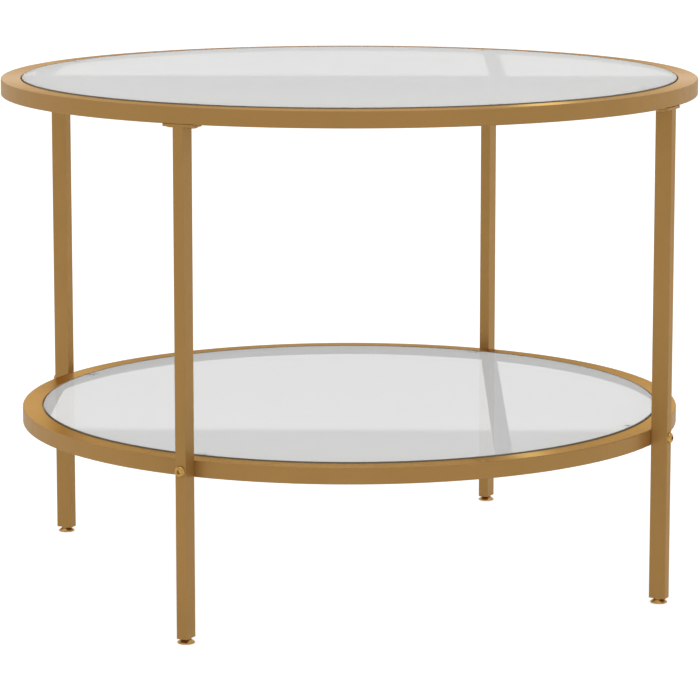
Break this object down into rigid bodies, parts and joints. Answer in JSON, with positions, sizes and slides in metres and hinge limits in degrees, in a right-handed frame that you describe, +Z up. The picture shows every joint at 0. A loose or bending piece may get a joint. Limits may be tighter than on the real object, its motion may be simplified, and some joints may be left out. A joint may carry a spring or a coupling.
{
  "type": "round coffee table",
  "caption": "Round coffee table with a glass top and a lower glass shelf, each inset in a gold tube ring, on slim straight tube legs with screw-out levelling feet.",
  "frame": {"origin": "on the floor, at the centre of the table", "axes": "+Z up; the legs stand on the diagonals between X and Y; -Y is called the front"},
  "size_m": [0.7, 0.7, 0.508],
  "materials": {
    "gold_tube": "satin metallic gold coat on steel",
    "bright_gold": "polished gold plating",
    "zinc_steel": "bright zinc plating",
    "brass": "turned, unpolished",
    "brown_plastic": "moulded, matt",
    "clear_glass": "clear tempered float glass, polished edge",
    "clear_silicone": "clear, slightly milky"
  },
  "bodies": {
    "frame": {"top_ring": "gold_tube", "top_ring_tabs": "gold_tube", "shelf_ring": "gold_tube", "shelf_ring_tabs": "gold_tube", "top_bumpers": "clear_silicone", "shelf_bumpers": "clear_silicone", "top_rivet_nuts": "zinc_steel", "shelf_rivet_nuts": "zinc_steel", "plate_screws": "bright_gold", "shelf_screws": "bright_gold", "foot_bushes": "brass", "plate_front_left": "gold_tube", "leg_front_left": "gold_tube", "plug_front_left": "brown_plastic", "plate_front_right": "gold_tube", "leg_front_right": "gold_tube", "plug_front_right": "brown_plastic", "plate_back_left": "gold_tube", "leg_back_left": "gold_tube", "plug_back_left": "brown_plastic", "plate_back_right": "gold_tube", "leg_back_right": "gold_tube", "plug_back_right": "brown_plastic"},
    "top_glass": {"top_glass": "clear_glass"},
    "shelf_glass": {"shelf_glass": "clear_glass"},
    "foot_pad_front_left": {"foot_pad_front_left": "bright_gold"},
    "foot_stem_front_left": {"foot_stem_front_left": "bright_gold"},
    "foot_pad_front_right": {"foot_pad_front_right": "bright_gold"},
    "foot_stem_front_right": {"foot_stem_front_right": "bright_gold"},
    "foot_pad_back_left": {"foot_pad_back_left": "bright_gold"},
    "foot_stem_back_left": {"foot_stem_back_left": "bright_gold"},
    "foot_pad_back_right": {"foot_pad_back_right": "bright_gold"},
    "foot_stem_back_right": {"foot_stem_back_right": "bright_gold"}
  },
  "joints": [
    {"name": "top_glass_lift", "type": "slide", "parent": "frame", "child": "top_glass", "axis": [0, 0, 1], "range_m": [0, 0.05]},
    {"name": "shelf_glass_lift", "type": "slide", "parent": "frame", "child": "shelf_glass", "axis": [0, 0, 1], "range_m": [0, 0.05]},
    {"name": "foot_extend_front_left", "type": "slide", "parent": "frame", "child": "foot_pad_front_left", "axis": [0, 0, -1], "range_m": [0, 0.008]},
    {"name": "foot_turn_front_left", "type": "hinge", "parent": "foot_pad_front_left", "child": "foot_stem_front_left", "pos_m": [-0.24148, -0.24148, 0.01], "axis": [0, 0, -1], "range_deg": [0, 3600]},
    {"name": "foot_extend_front_right", "type": "slide", "parent": "frame", "child": "foot_pad_front_right", "axis": [0, 0, -1], "range_m": [0, 0.008]},
    {"name": "foot_turn_front_right", "type": "hinge", "parent": "foot_pad_front_right", "child": "foot_stem_front_right", "pos_m": [0.24148, -0.24148, 0.01], "axis": [0, 0, -1], "range_deg": [0, 3600]},
    {"name": "foot_extend_back_left", "type": "slide", "parent": "frame", "child": "foot_pad_back_left", "axis": [0, 0, -1], "range_m": [0, 0.008]},
    {"name": "foot_turn_back_left", "type": "hinge", "parent": "foot_pad_back_left", "child": "foot_stem_back_left", "pos_m": [-0.24148, 0.24148, 0.01], "axis": [0, 0, -1], "range_deg": [0, 3600]},
    {"name": "foot_extend_back_right", "type": "slide", "parent": "frame", "child": "foot_pad_back_right", "axis": [0, 0, -1], "range_m": [0, 0.008]},
    {"name": "foot_turn_back_right", "type": "hinge", "parent": "foot_pad_back_right", "child": "foot_stem_back_right", "pos_m": [0.24148, 0.24148, 0.01], "axis": [0, 0, -1], "range_deg": [0, 3600]}
  ],
  "couplings": [
    {"joint": "foot_turn_front_left", "follows": "foot_extend_front_left", "rad_per_m": 7854},
    {"joint": "foot_turn_front_right", "follows": "foot_extend_front_right", "rad_per_m": 7854},
    {"joint": "foot_turn_back_left", "follows": "foot_extend_back_left", "rad_per_m": 7854},
    {"joint": "foot_turn_back_right", "follows": "foot_extend_back_right", "rad_per_m": 7854}
  ]
}
